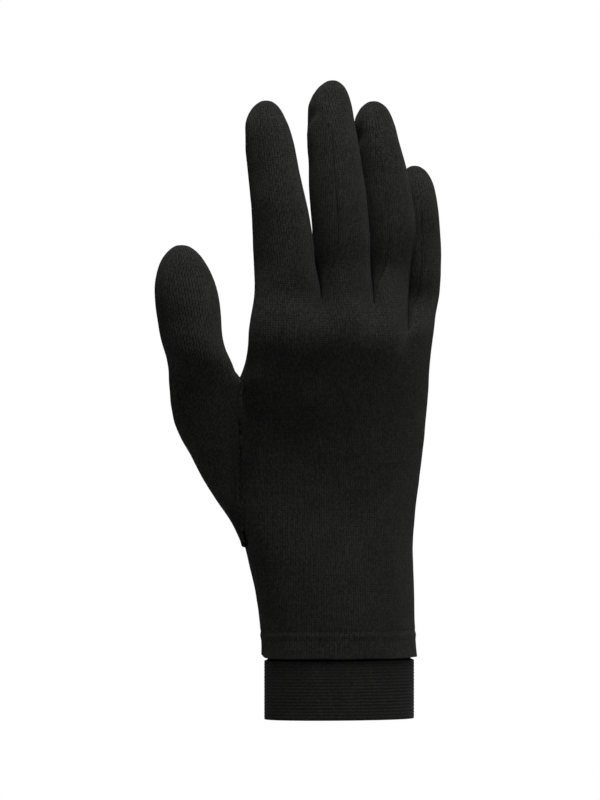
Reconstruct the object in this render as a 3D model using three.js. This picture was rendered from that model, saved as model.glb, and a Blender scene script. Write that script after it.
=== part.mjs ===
import * as THREE from 'three';

// A thin knitted glove liner for the right hand, in millimetres.
// It keeps the form of the hand that would fill it, and it is open at the wrist.
// The cuff's lower edge lies at height 0, +Z runs up to the fingertips,
// the back of the hand faces -Y and the thumb lies towards -X.

// Cloth
const cloth = 1.2;
const hem_cloth = 1.9;
const cuff_cloth = 1.6;
const seam_gap = 0.34;

// Wrist and cuff
const cuff_height = 25;
const cuff_tuck = 4;
const cuff_step = 0.8;
const wrist_width = 61.2;
const wrist_depth = 44;
const hem_height = 10;

// Palm, from the hem's lower edge up to the crotch of index and middle finger
const palm_length = 142.8;
const palm_breadth = 74;
const palm_depth = 32;

// Lengths above the crotches, and the rounded ends of the fingers
const index_length = 79.3;
const middle_length = 87.9;
const ring_length = 85.2;
const little_length = 64.8;
const thumb_length = 53.3;
const thumb_width = 26.4;
const finger_cap = 15.6;
const little_cap = 12.5;
const thumb_cap = 22;

// The hand is turned a little about its length, so that the thumb side comes forward
const hand_turn = THREE.MathUtils.degToRad(20);

const cloth_colour = '#1b1b1a';
const cloth_roughness = 0.95;

// Counts of steps in the grid that the cloth is laid out on
const step_counts = {
  finger_face: 4,
  finger_wall: 5,
  thumb_round: 10,
  wrist_to_thumb: 6,
  thumb_root: 9,
  knuckles: 5,
  finger_rise: 10,
  thumb_rise: 5,
  fingertip: 4,
};
const fingers = 4;

// An edge's corners are drawn in no further than at this sharpness, where 2 is straight
const sharpest_corner = 0.05;

// Sections of the palm. up is a share of the palm's length. left and right are shares of the
// breadth there, depth and away are shares of the depth there, away is how far the middle
// lies behind the back of the hand, turned is the share of the hand's turn that it has, and
// square is the power of its oval.
const palm_rows = [
  { up: 0.00, left: -0.512, right: 0.496, depth: 1.00, away: 0.00, turned: 0.55, square: 2.1 },
  { up: 0.05, left: -0.517, right: 0.491, depth: 0.99, away: 0.00, turned: 0.55, square: 2.1 },
  { up: 0.10, left: -0.518, right: 0.477, depth: 0.98, away: 0.00, turned: 0.58, square: 2.1 },
  { up: 0.16, left: -0.521, right: 0.460, depth: 0.98, away: 0.00, turned: 0.62, square: 2.2 },
  { up: 0.21, left: -0.530, right: 0.445, depth: 0.99, away: 0.00, turned: 0.66, square: 2.2 },
  { up: 0.27, left: -0.541, right: 0.424, depth: 1.00, away: 0.01, turned: 0.70, square: 2.3 },
  { up: 0.31, left: -0.556, right: 0.415, depth: 1.01, away: 0.02, turned: 0.74, square: 2.3 },
  { up: 0.35, left: -0.570, right: 0.414, depth: 1.02, away: 0.03, turned: 0.77, square: 2.3 },
  { up: 0.41, left: -0.568, right: 0.412, depth: 1.04, away: 0.04, turned: 0.80, square: 2.4 },
  { up: 0.49, left: -0.557, right: 0.428, depth: 1.06, away: 0.04, turned: 0.84, square: 2.4 },
  { up: 0.58, left: -0.556, right: 0.449, depth: 1.04, away: 0.02, turned: 0.88, square: 2.5 },
  { up: 0.63, left: -0.558, right: 0.459, depth: 1.02, away: 0.00, turned: 0.90, square: 2.5 },
  { up: 0.72, left: -0.564, right: 0.474, depth: 1.00, away: -0.03, turned: 0.94, square: 2.6 },
  { up: 0.775, left: -0.566, right: 0.481, depth: 0.99, away: -0.06, turned: 0.96, square: 2.6 },
  { up: 0.80, left: -0.530, right: 0.483, depth: 0.98, away: -0.07, turned: 0.97, square: 2.6 },
  { up: 0.83, left: -0.512, right: 0.487, depth: 0.98, away: -0.08, turned: 0.98, square: 2.6 },
  { up: 0.86, left: -0.501, right: 0.492, depth: 0.97, away: -0.08, turned: 1.00, square: 2.6 },
  { up: 0.91, left: -0.493, right: 0.508, depth: 0.92, away: -0.07, turned: 1.00, square: 2.6 },
  { up: 0.97, left: -0.478, right: 0.523, depth: 0.82, away: -0.03, turned: 1.00, square: 2.6 },
  { up: 1.00, left: -0.468, right: 0.532, depth: 0.78, away: 0.00, turned: 1.00, square: 2.6 },
];

// Where the palm's near edge columns lie on the back and on the palm's side, as shares of the
// way across: the thumb's two seams up to its crotch, and above it the edges of the palm
const near_edges = [
  { up: 0.00, back: 0.060, palm: 0.060 },
  { up: 0.05, back: 0.060, palm: 0.060 },
  { up: 0.10, back: 0.055, palm: 0.055 },
  { up: 0.16, back: 0.045, palm: 0.045 },
  { up: 0.21, back: 0.030, palm: 0.035 },
  { up: 0.27, back: 0.018, palm: 0.025 },
  { up: 0.31, back: 0.012, palm: 0.020 },
  { up: 0.35, back: 0.016, palm: 0.050 },
  { up: 0.41, back: 0.018, palm: 0.080 },
  { up: 0.49, back: 0.022, palm: 0.100 },
  { up: 0.58, back: 0.026, palm: 0.110 },
  { up: 0.63, back: 0.024, palm: 0.110 },
  { up: 0.72, back: 0.022, palm: 0.085 },
  { up: 0.775, back: 0.018, palm: 0.050 },
  { up: 0.80, back: 0.020, palm: 0.045 },
  { up: 0.83, back: 0.028, palm: 0.045 },
  { up: 0.86, back: 0.034, palm: 0.045 },
  { up: 0.91, back: 0.040, palm: 0.050 },
  { up: 0.97, back: 0.040, palm: 0.050 },
  { up: 1.00, back: 0.040, palm: 0.050 },
];

// Where the palm's far edge columns lie, likewise
const far_edge = 0.955;

// Where the crotches lie across the palm, at the wrist and at the finger roots
const crotch_shares = { wrist: [0.27, 0.5, 0.73], roots: [0.365, 0.649, 0.855] };

// How far each crotch lies below the first one, as a share of the palm's length
const crotch_drops = [0, 0, 0.004, 0.076, 0.079];
const drop_starts = 0.55;

// Widths grow from the wrist's to the palm's over this share of the palm's length
const palm_rise = 0.5;

// The valleys that run down from the crotches between the knuckles
const valley_starts = 0.86;
const back_valley = 0.36;
const palm_valley = 0.14;

// The mound at the root of the thumb. outline and lean are shares of the palm's breadth:
// where its outer edge lies, and how far that edge lies behind the line between its seams.
const mound_rows = [
  { up: 0.22, outline: -0.485, lean: 0.00 },
  { up: 0.31, outline: -0.523, lean: 0.00 },
  { up: 0.35, outline: -0.561, lean: 0.01 },
  { up: 0.41, outline: -0.633, lean: 0.02 },
  { up: 0.49, outline: -0.735, lean: 0.03 },
  { up: 0.58, outline: -0.824, lean: 0.03 },
  { up: 0.63, outline: -0.880, lean: 0.02 },
  { up: 0.67, outline: -0.902, lean: 0.01 },
  { up: 0.72, outline: -0.917, lean: 0.00 },
  { up: 0.775, outline: -0.926, lean: -0.01 },
];
const thumb_foot = 0.31;
const thumb_crotch = 0.775;
const mound_starts = 0.22;
const mound_full = 0.38;
const mound_square = 2.4;

// Sections of each finger. up is a share of its length above its crotch, middle and wide are
// shares of the palm's breadth, deep is a share of its own width, and away is a share of its
// length: how far it bends away from the back of the hand.
const finger_tables = {
  index: {
    length: index_length,
    cap: finger_cap,
    drop: 0,
    behind: 0.010,
    fourchette_left: false,
    fourchette_right: true,
    rows: [
      { up: 0.00, middle: -0.288, wide: 0.350, deep: 0.86, away: 0.000 },
      { up: 0.10, middle: -0.296, wide: 0.336, deep: 0.85, away: 0.002 },
      { up: 0.20, middle: -0.305, wide: 0.330, deep: 0.84, away: 0.006 },
      { up: 0.30, middle: -0.312, wide: 0.324, deep: 0.84, away: 0.012 },
      { up: 0.40, middle: -0.321, wide: 0.311, deep: 0.86, away: 0.020 },
      { up: 0.50, middle: -0.338, wide: 0.299, deep: 0.88, away: 0.032 },
      { up: 0.60, middle: -0.355, wide: 0.283, deep: 0.88, away: 0.050 },
      { up: 0.70, middle: -0.372, wide: 0.272, deep: 0.88, away: 0.072 },
      { up: 0.80, middle: -0.385, wide: 0.262, deep: 0.88, away: 0.098 },
      { up: 0.90, middle: -0.402, wide: 0.248, deep: 0.86, away: 0.128 },
      { up: 1.00, middle: -0.402, wide: 0.252, deep: 0.84, away: 0.160 },
    ],
  },
  middle: {
    length: middle_length,
    cap: finger_cap,
    drop: 0,
    behind: 0.000,
    fourchette_left: true,
    fourchette_right: true,
    rows: [
      { up: 0.00, middle: 0.026, wide: 0.296, deep: 0.90, away: 0.000 },
      { up: 0.09, middle: 0.012, wide: 0.294, deep: 0.90, away: 0.003 },
      { up: 0.18, middle: 0.008, wide: 0.305, deep: 0.88, away: 0.007 },
      { up: 0.27, middle: 0.005, wide: 0.312, deep: 0.86, away: 0.013 },
      { up: 0.36, middle: -0.003, wide: 0.310, deep: 0.86, away: 0.021 },
      { up: 0.45, middle: -0.013, wide: 0.309, deep: 0.85, away: 0.032 },
      { up: 0.54, middle: -0.022, wide: 0.300, deep: 0.86, away: 0.047 },
      { up: 0.63, middle: -0.032, wide: 0.280, deep: 0.88, away: 0.065 },
      { up: 0.72, middle: -0.043, wide: 0.271, deep: 0.88, away: 0.086 },
      { up: 0.81, middle: -0.054, wide: 0.260, deep: 0.88, away: 0.110 },
      { up: 0.90, middle: -0.056, wide: 0.246, deep: 0.86, away: 0.136 },
      { up: 1.00, middle: -0.043, wide: 0.250, deep: 0.84, away: 0.166 },
    ],
  },
  ring: {
    length: ring_length,
    cap: finger_cap,
    drop: 0.040,
    behind: 0.012,
    fourchette_left: true,
    fourchette_right: true,
    rows: [
      { up: 0.00, middle: 0.262, wide: 0.208, deep: 0.98, away: 0.000 },
      { up: 0.09, middle: 0.262, wide: 0.212, deep: 0.98, away: 0.004 },
      { up: 0.16, middle: 0.263, wide: 0.220, deep: 0.95, away: 0.009 },
      { up: 0.24, middle: 0.268, wide: 0.230, deep: 0.92, away: 0.015 },
      { up: 0.33, middle: 0.274, wide: 0.258, deep: 0.86, away: 0.023 },
      { up: 0.41, middle: 0.272, wide: 0.272, deep: 0.84, away: 0.032 },
      { up: 0.50, middle: 0.262, wide: 0.266, deep: 0.85, away: 0.046 },
      { up: 0.60, middle: 0.246, wide: 0.254, deep: 0.86, away: 0.064 },
      { up: 0.70, middle: 0.228, wide: 0.246, deep: 0.87, away: 0.086 },
      { up: 0.81, middle: 0.202, wide: 0.234, deep: 0.88, away: 0.114 },
      { up: 0.90, middle: 0.182, wide: 0.238, deep: 0.86, away: 0.140 },
      { up: 1.00, middle: 0.180, wide: 0.246, deep: 0.84, away: 0.170 },
    ],
  },
  little: {
    length: little_length,
    cap: little_cap,
    drop: 0.078,
    behind: 0.055,
    fourchette_left: true,
    fourchette_right: false,
    rows: [
      { up: 0.00, middle: 0.428, wide: 0.170, deep: 0.98, away: 0.000 },
      { up: 0.12, middle: 0.436, wide: 0.186, deep: 0.96, away: 0.012 },
      { up: 0.24, middle: 0.442, wide: 0.200, deep: 0.94, away: 0.030 },
      { up: 0.36, middle: 0.445, wide: 0.204, deep: 0.92, away: 0.050 },
      { up: 0.48, middle: 0.447, wide: 0.202, deep: 0.90, away: 0.070 },
      { up: 0.60, middle: 0.444, wide: 0.199, deep: 0.90, away: 0.090 },
      { up: 0.72, middle: 0.436, wide: 0.198, deep: 0.90, away: 0.112 },
      { up: 0.82, middle: 0.423, wide: 0.198, deep: 0.88, away: 0.135 },
      { up: 0.91, middle: 0.414, wide: 0.200, deep: 0.86, away: 0.160 },
      { up: 1.00, middle: 0.408, wide: 0.200, deep: 0.84, away: 0.190 },
    ],
  },
};

// Sections of the thumb above its crotch, where middle and wide are shares of the thumb's
// width, and middle is measured from the outer edge of the mound
const thumb_rows = [
  { up: 0.00, middle: 0.505, wide: 1.010, deep: 0.90, away: 0.000 },
  { up: 0.10, middle: 0.450, wide: 0.960, deep: 0.88, away: 0.006 },
  { up: 0.21, middle: 0.400, wide: 0.930, deep: 0.86, away: 0.014 },
  { up: 0.36, middle: 0.340, wide: 0.936, deep: 0.84, away: 0.026 },
  { up: 0.51, middle: 0.310, wide: 0.956, deep: 0.82, away: 0.040 },
  { up: 0.66, middle: 0.270, wide: 0.950, deep: 0.80, away: 0.058 },
  { up: 0.80, middle: 0.232, wide: 0.930, deep: 0.78, away: 0.080 },
  { up: 1.00, middle: 0.195, wide: 0.930, deep: 0.76, away: 0.115 },
];
const thumb_behind = 0.10;

// Where the seams of the fourchettes lie round a finger, in degrees: 0 is the thumb's side,
// 90 the back of the hand, 180 the little finger's side and 270 the palm's side
const seam_rows = [
  { up: 0.00, left_front: 22, right_front: 160, right_back: 205, left_back: -22 },
  { up: 0.06, left_front: 50, right_front: 160, right_back: 230, left_back: -30 },
  { up: 0.14, left_front: 72, right_front: 160, right_back: 255, left_back: -33 },
  { up: 0.28, left_front: 84, right_front: 160, right_back: 264, left_back: -33 },
  { up: 0.60, left_front: 88, right_front: 160, right_back: 260, left_back: -28 },
  { up: 0.74, left_front: 90, right_front: 164, right_back: 240, left_back: 8 },
  { up: 0.86, left_front: 90, right_front: 176, right_back: 200, left_back: 68 },
  { up: 1.00, left_front: 75, right_front: 150, right_back: 240, left_back: -15 },
];
const fourchette_end = 0.86;
const plain_edges = { left_front: 45, left_back: -35, right_front: 140, right_back: 215 };
const thumb_edges = { front: 155, back: 235 };
const full_turn = 360;

// The fingers grow out of the palm's section over these shares of their lengths
const root_blend = 0.16;
const level_blend = 0.4;
const thumb_blend = 0.2;

// Dents and bulges on the back of the hand. across is a share of the palm's breadth, up and
// reach_up are shares of its length, reach_across is a share of its breadth, and out is a
// share of its depth, towards the viewer of the back.
const relief_rows = [
  { across: -0.26, up: 0.93, reach_across: 0.16, reach_up: 0.07, out: 0.050 },
  { across: 0.05, up: 0.95, reach_across: 0.14, reach_up: 0.07, out: 0.060 },
  { across: 0.28, up: 0.89, reach_across: 0.12, reach_up: 0.07, out: 0.045 },
  { across: -0.15, up: 0.80, reach_across: 0.24, reach_up: 0.055, out: -0.055 },
  { across: -0.30, up: 0.62, reach_across: 0.20, reach_up: 0.07, out: -0.035 },
  { across: 0.25, up: 0.45, reach_across: 0.22, reach_up: 0.20, out: 0.040 },
  { across: -0.05, up: 0.42, reach_across: 0.20, reach_up: 0.10, out: -0.020 },
];

// Bulges and the hollow on the palm's side, as above, where out is away from the back
const palm_relief_rows = [
  { across: -0.30, up: 0.55, reach_across: 0.22, reach_up: 0.17, out: 0.120 },
  { across: 0.27, up: 0.42, reach_across: 0.18, reach_up: 0.20, out: 0.080 },
  { across: 0.02, up: 0.62, reach_across: 0.16, reach_up: 0.20, out: -0.060 },
  { across: 0.00, up: 0.93, reach_across: 0.40, reach_up: 0.06, out: 0.050 },
];

const mix = (from, to, share) => from + (to - from) * share;

function ease(share) {
  const held = THREE.MathUtils.clamp(share, 0, 1);
  return held * held * (3 - 2 * held);
}

// One column of a table at a height between its rows, along a smooth curve
function column_at(rows, column, up) {
  const last = rows.length - 1;
  if (up <= rows[0].up) return rows[0][column];
  if (up >= rows[last].up) return rows[last][column];
  let low = 0;
  while (rows[low + 1].up < up) low += 1;
  const slope_between = (first, second) =>
    (rows[second][column] - rows[first][column]) / (rows[second].up - rows[first].up);
  const slope_at = (row) => {
    if (row === 0) return slope_between(0, 1);
    if (row === last) return slope_between(last - 1, last);
    return (slope_between(row - 1, row) + slope_between(row, row + 1)) / 2;
  };
  const span = rows[low + 1].up - rows[low].up;
  const share = (up - rows[low].up) / span;
  const start_bend = slope_at(low) * span * share * (1 - share) ** 2;
  const end_bend = slope_at(low + 1) * span * share ** 2 * (share - 1);
  return mix(rows[low][column], rows[low + 1][column], ease(share)) + start_bend + end_bend;
}

const signed_power = (value, power) => Math.sign(value) * Math.abs(value) ** power;

const hem_edge = cuff_height + seam_gap;

// Sum of a table's soft bumps at one place of the palm
function relief_at(rows, across, up) {
  let out = 0;
  for (const row of rows) {
    const sideways = (across - row.across) / row.reach_across;
    const along = (up - row.up) / row.reach_up;
    out += row.out * Math.exp(-(sideways ** 2) - along ** 2);
  }
  return out * palm_depth;
}

function palm_section(up) {
  const grown = ease(up / palm_rise);
  const width = mix(wrist_width, palm_breadth, grown);
  const depth = mix(wrist_depth, palm_depth, grown);
  return {
    left: column_at(palm_rows, 'left', up) * width,
    right: column_at(palm_rows, 'right', up) * width,
    half_depth: column_at(palm_rows, 'depth', up) * depth / 2,
    away: column_at(palm_rows, 'away', up) * depth,
    slope: column_at(palm_rows, 'turned', up) * Math.tan(hand_turn),
    square: column_at(palm_rows, 'square', up),
  };
}

// The angle round a palm section at a share of the way across it
function angle_across(section, share) {
  return Math.acos(signed_power(1 - 2 * share, section.square / 2));
}

// A point of the palm at a height and an angle, with pinch drawing it in at the crotches
function palm_point(up, angle, pinch) {
  const section = palm_section(up);
  const power = 2 / section.square;
  const half_width = (section.right - section.left) / 2;
  const x = (section.left + section.right) / 2 - half_width * signed_power(Math.cos(angle), power);
  const swell = signed_power(Math.sin(angle), power);
  const backness = Math.max(0, swell);
  const palmness = Math.max(0, -swell);
  const across = x / palm_breadth;
  const y = section.away + x * section.slope - section.half_depth * swell * (1 - pinch)
    - relief_at(relief_rows, across, up) * backness
    + relief_at(palm_relief_rows, across, up) * palmness;
  return new THREE.Vector3(x, y, hem_edge + up * palm_length);
}

// How far down a column of the palm is at a nominal height
function sunk(up, drop) {
  return up - drop * ease((up - drop_starts) / (1 - drop_starts));
}

// A point on the back (side 1) or the palm's side (side -1), column 0 to 16
function face_point(up, column, side) {
  const finger = Math.min(Math.floor(column / step_counts.finger_face), fingers - 1);
  const within = column / step_counts.finger_face - finger;
  const drop = mix(crotch_drops[finger], crotch_drops[finger + 1], within);
  const height = sunk(up, drop);
  const near = column_at(near_edges, side > 0 ? 'back' : 'palm', height);
  const stops = [near];
  for (const [place, wrist_share] of crotch_shares.wrist.entries()) {
    stops.push(mix(wrist_share, crotch_shares.roots[place], ease(height)));
  }
  stops.push(far_edge);
  const share = mix(stops[finger], stops[finger + 1], within);
  const angle = angle_across(palm_section(height), share) * side;
  const outer_end = (finger === 0 && within < 0.5) || (finger === fingers - 1 && within > 0.5);
  const valley = outer_end ? 0 : 1 - Math.sin(Math.PI * within) ** 0.7;
  const deepest = side > 0 ? back_valley : palm_valley;
  const pinch = deepest * valley * ease((height - valley_starts) / (1 - valley_starts));
  return palm_point(height, angle, pinch);
}

// Points round the side of the palm, from the back to the palm's side or the other way
function far_wall_point(up, step) {
  const height = sunk(up, crotch_drops[fingers]);
  const edge = angle_across(palm_section(height), far_edge);
  return palm_point(height, mix(edge, 2 * Math.PI - edge, step / step_counts.finger_wall), 0);
}

function near_wall_angles(up) {
  const section = palm_section(up);
  return {
    palm: 2 * Math.PI - angle_across(section, column_at(near_edges, 'palm', up)),
    back: 2 * Math.PI + angle_across(section, column_at(near_edges, 'back', up)),
  };
}

function near_wall_point(up, step) {
  const edges = near_wall_angles(up);
  return palm_point(up, mix(edges.palm, edges.back, step / step_counts.finger_wall), 0);
}

// Points round the mound of the thumb, from its seam on the palm's side to the one on the back
function mound_point(up, step) {
  const share = step / step_counts.thumb_round;
  const edges = near_wall_angles(up);
  const plain = palm_point(up, mix(edges.palm, edges.back, share), 0);
  const front = face_point(up, 0, 1);
  const back = face_point(up, 0, -1);
  const centre = front.clone().add(back).multiplyScalar(0.5);
  const arm = front.clone().sub(centre);
  const outline = column_at(mound_rows, 'outline', up) * palm_breadth;
  const reach = Math.max((centre.x - outline) ** 2 - arm.x ** 2, 1);
  const turn = Math.PI * (1 - share);
  const power = 2 / mound_square;
  const along = signed_power(Math.cos(turn), power);
  const out = signed_power(Math.sin(turn), power);
  const round = centre.addScaledVector(arm, along);
  round.x -= Math.sqrt(reach) * out;
  round.y += column_at(mound_rows, 'lean', up) * palm_breadth * out;
  return plain.lerp(round, ease((up - mound_starts) / (mound_full - mound_starts)));
}

// The cloth as a net of points and four- or three-cornered faces, each part of one piece
const points = [];
const faces = [];

function add_point(point) {
  points.push(point);
  return points.length - 1;
}

// Faces between two loops of points, where piece_of tells which piece each column is in
function join_loops(lower, upper, piece_of) {
  for (let column = 0; column < lower.length; column += 1) {
    const next = (column + 1) % lower.length;
    faces.push({
      piece: piece_of(column),
      corners: [lower[column], lower[next], upper[next], upper[column]],
    });
  }
}

const span = (count) => Array.from({ length: count }, (unused, place) => place);
const face_columns = fingers * step_counts.finger_face;

// One loop of palm points without the thumb's side: back, far wall, palm's side
function palm_loop(up) {
  const back = span(face_columns + 1).map((column) => add_point(face_point(up, column, 1)));
  const wall = span(step_counts.finger_wall - 1).map((step) => add_point(far_wall_point(up, step + 1)));
  const front = span(face_columns + 1).map((column) =>
    add_point(face_point(up, face_columns - column, -1)));
  return [...back, ...wall, ...front];
}

const mound_loop = (up) =>
  span(step_counts.thumb_round - 1).map((step) => add_point(mound_point(up, step + 1)));
const near_wall_loop = (up) =>
  span(step_counts.finger_wall - 1).map((step) => add_point(near_wall_point(up, step + 1)));

// From the hem up to the thumb's crotch
function lower_palm() {
  const heights = [];
  for (const step of span(step_counts.wrist_to_thumb)) {
    heights.push(thumb_foot * step / step_counts.wrist_to_thumb);
  }
  for (const step of span(step_counts.thumb_root + 1)) {
    heights.push(mix(thumb_foot, thumb_crotch, step / step_counts.thumb_root));
  }
  const loops = heights.map((up) => ({ palm: palm_loop(up), mound: mound_loop(up) }));
  for (let row = 0; row + 1 < loops.length; row += 1) {
    const palm_columns = loops[row].palm.length - 1;
    const beside_thumb = row >= step_counts.wrist_to_thumb;
    join_loops(
      [...loops[row].palm, ...loops[row].mound],
      [...loops[row + 1].palm, ...loops[row + 1].mound],
      (column) => (beside_thumb && column >= palm_columns ? 'thumb' : 'hand'),
    );
  }
  return loops[loops.length - 1];
}

// From the thumb's crotch up to the finger roots
function upper_palm(crotch_row) {
  const bridge = near_wall_loop(thumb_crotch);
  let lower = [...crotch_row.palm, ...bridge];
  for (const step of span(step_counts.knuckles)) {
    const up = mix(thumb_crotch, 1, (step + 1) / step_counts.knuckles);
    const upper = [...palm_loop(up), ...near_wall_loop(up)];
    join_loops(lower, upper, () => 'hand');
    lower = upper;
  }
  return { roots: lower, bridge };
}

// Points across a crotch, from the back to the palm's side, between two fingers
function crotch_bridge(roots, crotch) {
  const back = points[roots[crotch * step_counts.finger_face]];
  const far = face_columns + step_counts.finger_wall + (fingers - crotch) * step_counts.finger_face;
  const front = points[roots[far]];
  return span(step_counts.finger_wall - 1).map((step) =>
    add_point(back.clone().lerp(front, (step + 1) / step_counts.finger_wall)));
}

// A rounded end: the share of its full width that a finger has at a height
function cap_share(up, length, cap) {
  const start = 1 - cap / length;
  return up <= start ? 1 : Math.sqrt(Math.max(0, 1 - ((up - start) / (1 - start)) ** 2));
}

// The angles of the points round a finger: back, far wall, palm's side, near wall
function finger_angles(table, up) {
  const seam = (name, has_seam) =>
    has_seam ? column_at(seam_rows, name, up) : plain_edges[name];
  const left_front = seam('left_front', table.fourchette_left);
  const right_front = seam('right_front', table.fourchette_right);
  const right_back = seam('right_back', table.fourchette_right);
  const left_back = seam('left_back', table.fourchette_left);
  const angles = [];
  const stretch = (from, to, count) => {
    for (const step of span(count)) angles.push(mix(from, to, step / count));
  };
  stretch(left_front, right_front, step_counts.finger_face);
  stretch(right_front, right_back, step_counts.finger_wall);
  stretch(right_back, left_back + full_turn, step_counts.finger_face);
  stretch(left_back, left_front, step_counts.finger_wall);
  return angles.map((angle) => THREE.MathUtils.degToRad(angle));
}

const root_middle = (table) => column_at(table.rows, 'middle', 0) * palm_breadth;
const root_height = (table) => hem_edge + (1 - table.drop) * palm_length;

// A point on a finger's own oval
function finger_oval(table, up, angle) {
  const size = cap_share(up, table.length, table.cap);
  const half_width = column_at(table.rows, 'wide', up) * palm_breadth / 2 * size;
  const half_depth = half_width * column_at(table.rows, 'deep', up);
  const x = column_at(table.rows, 'middle', up) * palm_breadth;
  const root_away = root_middle(table) * Math.tan(hand_turn) + table.behind * palm_breadth;
  const y = root_away + column_at(table.rows, 'away', up) * table.length;
  return new THREE.Vector3(
    x - half_width * Math.cos(angle),
    y - half_depth * Math.sin(angle),
    root_height(table) + up * table.length,
  );
}

function finger_row(table, base, up) {
  const angles = finger_angles(table, up);
  return base.map((root, column) => {
    const level = mix(points[root].z, root_height(table), ease(up / level_blend));
    const height = level + up * table.length;
    const own_up = Math.min((height - root_height(table)) / table.length, 1);
    const oval = finger_oval(table, Math.max(own_up, 0), angles[column]);
    const point = new THREE.Vector3().lerpVectors(points[root], oval, ease(up / root_blend));
    point.z = height;
    return add_point(point);
  });
}

// Heights of the loops on a finger or thumb: even up to a height, then closing round the tip
function rising_heights(even_to, even_steps) {
  const even = span(even_steps).map((step) => even_to * (step + 1) / even_steps);
  const round = span(step_counts.fingertip).map((step) =>
    mix(even_to, 1, Math.sin((step + 1) / (step_counts.fingertip + 1) * Math.PI / 2)));
  return [...even, ...round];
}

function close_tip(loop, tip, piece) {
  const top = add_point(tip);
  for (let column = 0; column < loop.length; column += 1) {
    const next = (column + 1) % loop.length;
    faces.push({ piece, corners: [loop[column], loop[next], top] });
  }
}

function finger(table, base, left_piece, right_piece) {
  const wall_start = step_counts.finger_face;
  const wall_end = wall_start + step_counts.finger_wall;
  const near_start = wall_end + step_counts.finger_face;
  let lower = base;
  for (const up of rising_heights(fourchette_end, step_counts.finger_rise)) {
    const below_end = up <= fourchette_end;
    const upper = finger_row(table, base, up);
    join_loops(lower, upper, (column) => {
      if (below_end && column >= near_start) return left_piece;
      if (below_end && column >= wall_start && column < wall_end) return right_piece;
      return 'hand';
    });
    lower = upper;
  }
  close_tip(lower, finger_oval(table, 1, 0), 'hand');
}

// The thumb above its crotch; base runs from the palm's side round the mound and back
function thumb(base) {
  const edge = column_at(mound_rows, 'outline', thumb_crotch) * palm_breadth;
  const root_away = edge * Math.tan(hand_turn) + thumb_behind * palm_breadth;
  const root = hem_edge + thumb_crotch * palm_length;
  const oval = (up, angle) => {
    const size = cap_share(up, thumb_length, thumb_cap);
    const half_width = column_at(thumb_rows, 'wide', up) * thumb_width / 2 * size;
    const half_depth = half_width * column_at(thumb_rows, 'deep', up);
    const middle = edge + column_at(thumb_rows, 'middle', up) * thumb_width;
    return new THREE.Vector3(
      middle - half_width * Math.cos(angle),
      root_away + column_at(thumb_rows, 'away', up) * thumb_length - half_depth * Math.sin(angle),
      root + up * thumb_length,
    );
  };
  const round = thumb_edges.front + full_turn - thumb_edges.back;
  const wall = thumb_edges.back - thumb_edges.front;
  const angles = [
    ...span(step_counts.thumb_round).map((step) => thumb_edges.back + round * step / step_counts.thumb_round),
    ...span(step_counts.finger_wall).map((step) => thumb_edges.front + wall * step / step_counts.finger_wall),
  ].map((angle) => THREE.MathUtils.degToRad(angle));
  let lower = base;
  for (const up of rising_heights(1 - thumb_cap / thumb_length, step_counts.thumb_rise)) {
    const upper = base.map((start, column) => {
      const point = new THREE.Vector3();
      point.lerpVectors(points[start], oval(up, angles[column]), ease(up / thumb_blend));
      point.z = root + up * thumb_length;
      return add_point(point);
    });
    join_loops(lower, upper, () => 'thumb');
    lower = upper;
  }
  close_tip(lower, oval(1, 0), 'thumb');
}

// Lay out the whole cloth
const crotch_row = lower_palm();
const { roots, bridge } = upper_palm(crotch_row);
const thumb_base = [
  crotch_row.palm[crotch_row.palm.length - 1],
  ...crotch_row.mound,
  crotch_row.palm[0],
  ...bridge.slice().reverse(),
];
thumb(thumb_base);

const finger_names = ['index', 'middle', 'ring', 'little'];
const fourchette_name = (gap) => `fourchette_${finger_names[gap]}_${finger_names[gap + 1]}`;
const bridges = span(fingers - 1).map((gap) => crotch_bridge(roots, gap + 1));
const far_wall = roots.slice(face_columns + 1, face_columns + step_counts.finger_wall);
const near_wall = roots.slice(roots.length - step_counts.finger_wall + 1);
for (const [place, name] of finger_names.entries()) {
  const start = place * step_counts.finger_face;
  const back_start = face_columns + step_counts.finger_wall + (fingers - 1 - place) * step_counts.finger_face;
  const right = place < fingers - 1 ? bridges[place] : far_wall;
  const left = place > 0 ? bridges[place - 1].slice().reverse() : near_wall;
  finger(
    finger_tables[name],
    [
      ...roots.slice(start, start + step_counts.finger_face + 1),
      ...right,
      ...roots.slice(back_start, back_start + step_counts.finger_face + 1),
      ...left,
    ],
    place > 0 ? fourchette_name(place - 1) : 'hand',
    place < fingers - 1 ? fourchette_name(place) : 'hand',
  );
}

function corner_points(face) {
  return face.corners.map((corner) => points[corner]);
}

// Twice the area of a face, as a vector along its outward direction
function face_direction(face) {
  const [first, second, third, fourth = first] = corner_points(face);
  const rising = third.clone().sub(first);
  const crossing = (face.corners.length === 4 ? fourth : third).clone().sub(second);
  return new THREE.Vector3().crossVectors(rising, crossing);
}

const directions = points.map(() => new THREE.Vector3());
for (const face of faces) {
  const direction = face_direction(face);
  for (const corner of face.corners) directions[corner].add(direction);
}
for (const direction of directions) direction.normalize();

function wall_at(point) {
  return point.z < hem_edge + hem_height ? hem_cloth : cloth;
}

// How far a corner between two edges moves, so that both edges draw in by half of the gap
function drawn_in([first, second]) {
  const sharpness = Math.max(1 + first.dot(second), sharpest_corner);
  return first.clone().add(second).multiplyScalar(seam_gap / 2 / sharpness);
}

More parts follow.
